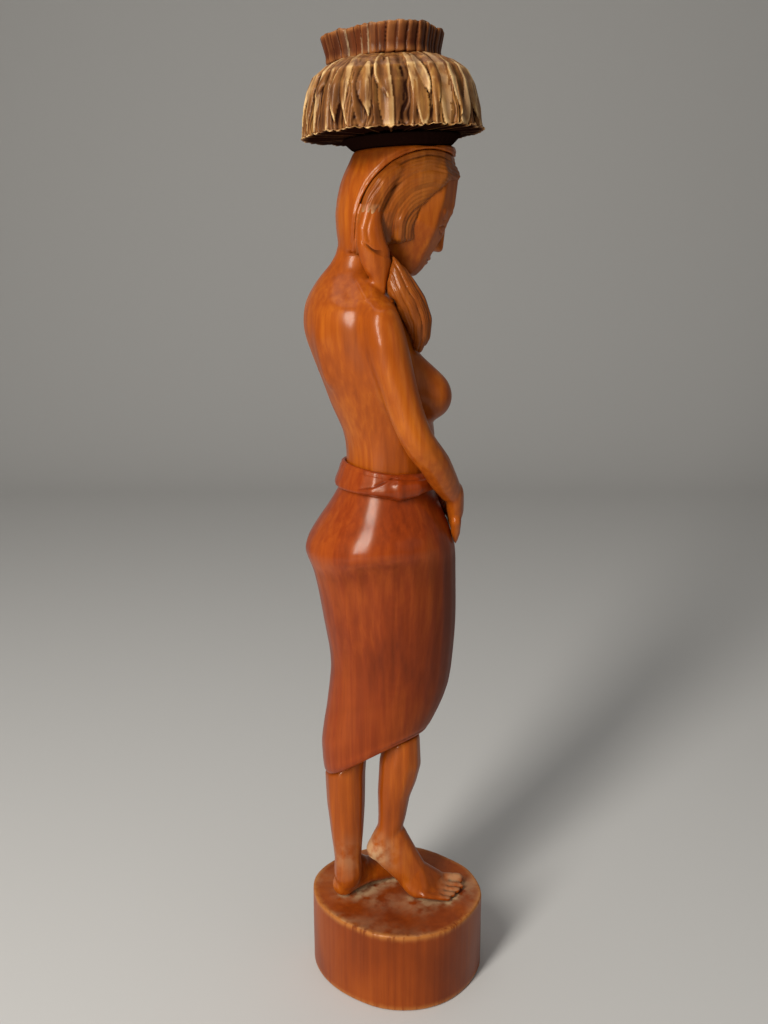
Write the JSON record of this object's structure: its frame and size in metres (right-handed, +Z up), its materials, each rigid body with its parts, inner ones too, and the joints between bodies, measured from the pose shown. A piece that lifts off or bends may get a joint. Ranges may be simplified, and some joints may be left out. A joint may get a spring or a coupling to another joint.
{
  "type": "carved wooden figure",
  "caption": "Tall carved wooden figure of a woman in a wrapped skirt, bearing a bound sheaf on her head and standing on a round log plinth.",
  "frame": {"origin": "centre of the plinth's underside", "axes": "+Z up the figure, -Y the way she faces, -X her right side"},
  "size_m": [0.0841, 0.0879, 0.4566],
  "materials": {
    "plinth_wood": "dark end grain, waxed side",
    "body_wood": "polished and waxed",
    "cloth_wood": "polished and waxed",
    "hair_wood": "fine carved grooves, waxed",
    "load_wood": "deeply carved, pale residue in the grooves"
  },
  "bodies": {
    "root": {"plinth": "plinth_wood", "left_leg": "body_wood", "right_leg": "body_wood", "skirt": "cloth_wood", "waist_sash": "cloth_wood", "torso": "body_wood", "left_arm": "body_wood", "right_arm": "body_wood", "head": "body_wood", "front_hair": "hair_wood", "head_cloth": "cloth_wood", "cloth_fold": "cloth_wood", "chest_lock": "hair_wood", "head_ring": "load_wood", "leaf_tier": "load_wood", "crown_tier": "load_wood"}
  },
  "joints": []
}
